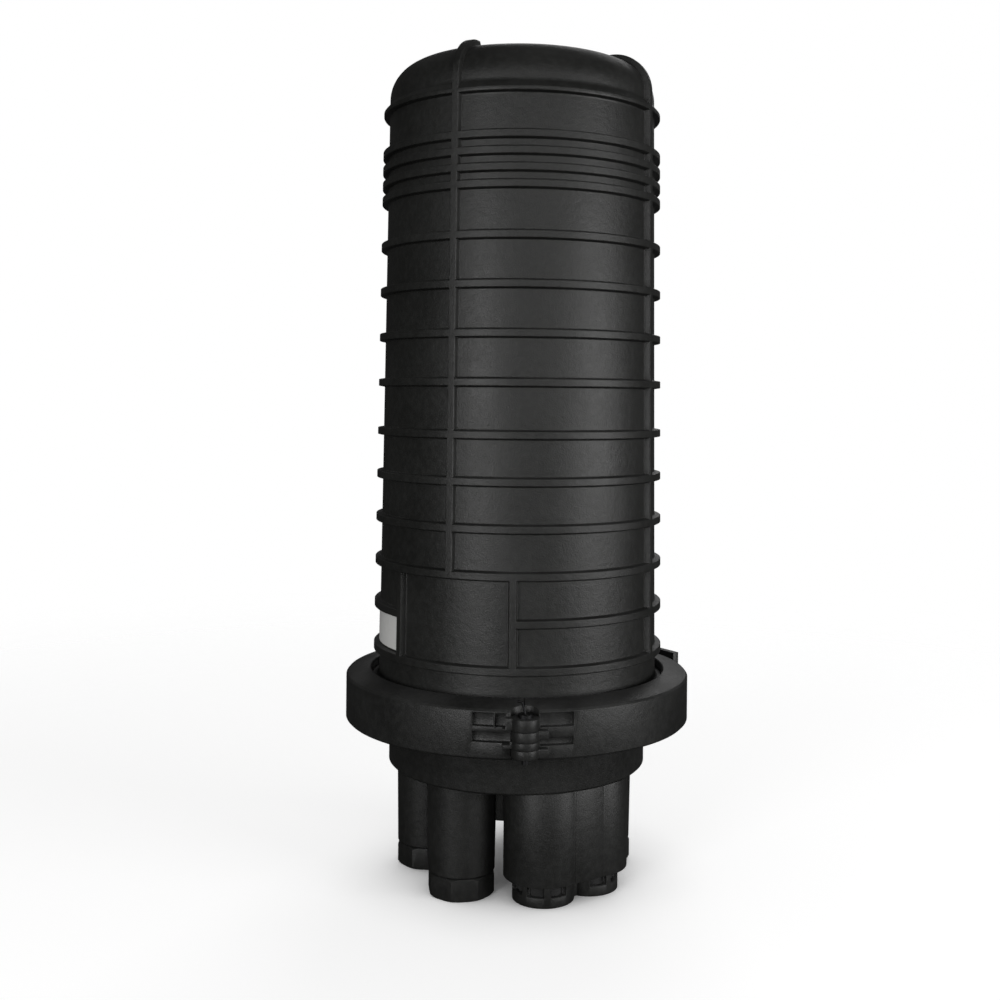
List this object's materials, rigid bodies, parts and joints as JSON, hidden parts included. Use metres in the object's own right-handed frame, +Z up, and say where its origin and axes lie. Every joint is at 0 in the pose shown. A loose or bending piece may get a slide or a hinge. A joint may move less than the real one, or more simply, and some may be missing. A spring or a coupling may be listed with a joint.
{
  "type": "dome splice closure",
  "caption": "Black ribbed dome closure for fibre splices, clamped to its ported base by a hinged plastic hoop with a latch lever.",
  "frame": {"origin": "the dome's axis at the level of the port nuts' undersides", "axes": "+Z up along the dome's axis, -Y towards the hoop's hinge pin, +X to the side of the hoop half that carries the latch lever"},
  "size_m": [0.2241, 0.2434, 0.5225],
  "materials": {
    "dome_plastic": "moulded matt black",
    "base_plastic": "moulded matt black",
    "hoop_plastic": "moulded satin black",
    "lever_plastic": "moulded black",
    "seal_rubber": "soft black",
    "plug_plastic": "moulded dark grey",
    "dark_steel": "dark plated",
    "steel": "plated",
    "brass": "turned",
    "frame_metal": "folded sheet",
    "tray_plastic": "moulded off-white",
    "holder_plastic": "moulded blue",
    "clear_plastic": "clear sheet",
    "strap_fabric": "woven",
    "label_film": "blank white film"
  },
  "bodies": {
    "closure": {"dome_shell": "dome_plastic", "base_body": "base_plastic", "port_tubes": "base_plastic", "oval_tube": "base_plastic", "main_seal_ring": "seal_rubber", "marking_label": "label_film", "hinge_pin": "dark_steel", "port_washer_1": "steel", "port_washer_2": "steel", "port_washer_3": "steel", "port_washer_4": "steel", "port_seal_1": "seal_rubber", "port_seal_2": "seal_rubber", "port_seal_3": "seal_rubber", "port_seal_4": "seal_rubber", "port_plug_1": "plug_plastic", "port_plug_2": "plug_plastic", "port_plug_3": "plug_plastic", "port_plug_4": "plug_plastic", "oval_cage": "base_plastic", "oval_seal": "seal_rubber", "oval_plugs": "plug_plastic", "tray_frame": "frame_metal", "frame_screws": "steel", "tray_hinge_rods": "steel", "splice_tray_1": "tray_plastic", "splice_tray_2": "tray_plastic", "splice_tray_3": "tray_plastic", "splice_tray_4": "tray_plastic", "splice_holders": "holder_plastic", "tray_cover": "clear_plastic", "tray_strap": "strap_fabric", "slack_basket": "tray_plastic", "strength_posts": "brass", "post_screws": "steel"},
    "hoop_left": {"hoop_left": "hoop_plastic"},
    "hoop_right": {"hoop_right": "hoop_plastic", "latch_pivot_pin": "steel"},
    "latch_lever": {"latch_lever": "lever_plastic"},
    "latch_link": {"latch_link": "steel"},
    "port_nut_1": {"port_nut_1": "base_plastic"},
    "port_nut_2": {"port_nut_2": "base_plastic"},
    "port_nut_3": {"port_nut_3": "base_plastic"},
    "port_nut_4": {"port_nut_4": "base_plastic"}
  },
  "joints": [
    {"name": "hoop_left_swing", "type": "hinge", "parent": "closure", "child": "hoop_left", "pos_m": [0, -0.1124, 0.113], "axis": [0, 0, 1], "range_deg": [0, 75]},
    {"name": "hoop_right_swing", "type": "hinge", "parent": "closure", "child": "hoop_right", "pos_m": [0, -0.1124, 0.113], "axis": [0, 0, -1], "range_deg": [0, 75]},
    {"name": "latch_lever_swing", "type": "hinge", "parent": "hoop_right", "child": "latch_lever", "pos_m": [0.015, 0.118, 0.115], "axis": [0, 0, 1], "range_deg": [0, 110]},
    {"name": "latch_link_swing", "type": "hinge", "parent": "latch_lever", "child": "latch_link", "pos_m": [0.031, 0.114, 0.115], "axis": [0, 0, -1], "range_deg": [0, 125]},
    {"name": "port_nut_1_turn", "type": "hinge", "parent": "closure", "child": "port_nut_1", "pos_m": [-0.03536, -0.04445, 0], "axis": [0, 0, 1], "continuous": true},
    {"name": "port_nut_2_turn", "type": "hinge", "parent": "closure", "child": "port_nut_2", "pos_m": [-0.05625, 0.00791, 0], "axis": [0, 0, 1], "continuous": true},
    {"name": "port_nut_3_turn", "type": "hinge", "parent": "closure", "child": "port_nut_3", "pos_m": [0.05545, 0.01229, 0], "axis": [0, 0, 1], "continuous": true},
    {"name": "port_nut_4_turn", "type": "hinge", "parent": "closure", "child": "port_nut_4", "pos_m": [0.01755, 0.05402, 0], "axis": [0, 0, 1], "continuous": true}
  ],
  "couplings": [
    {"joint": "latch_link_swing", "follows": "latch_lever_swing", "ratio": 1.1}
  ]
}
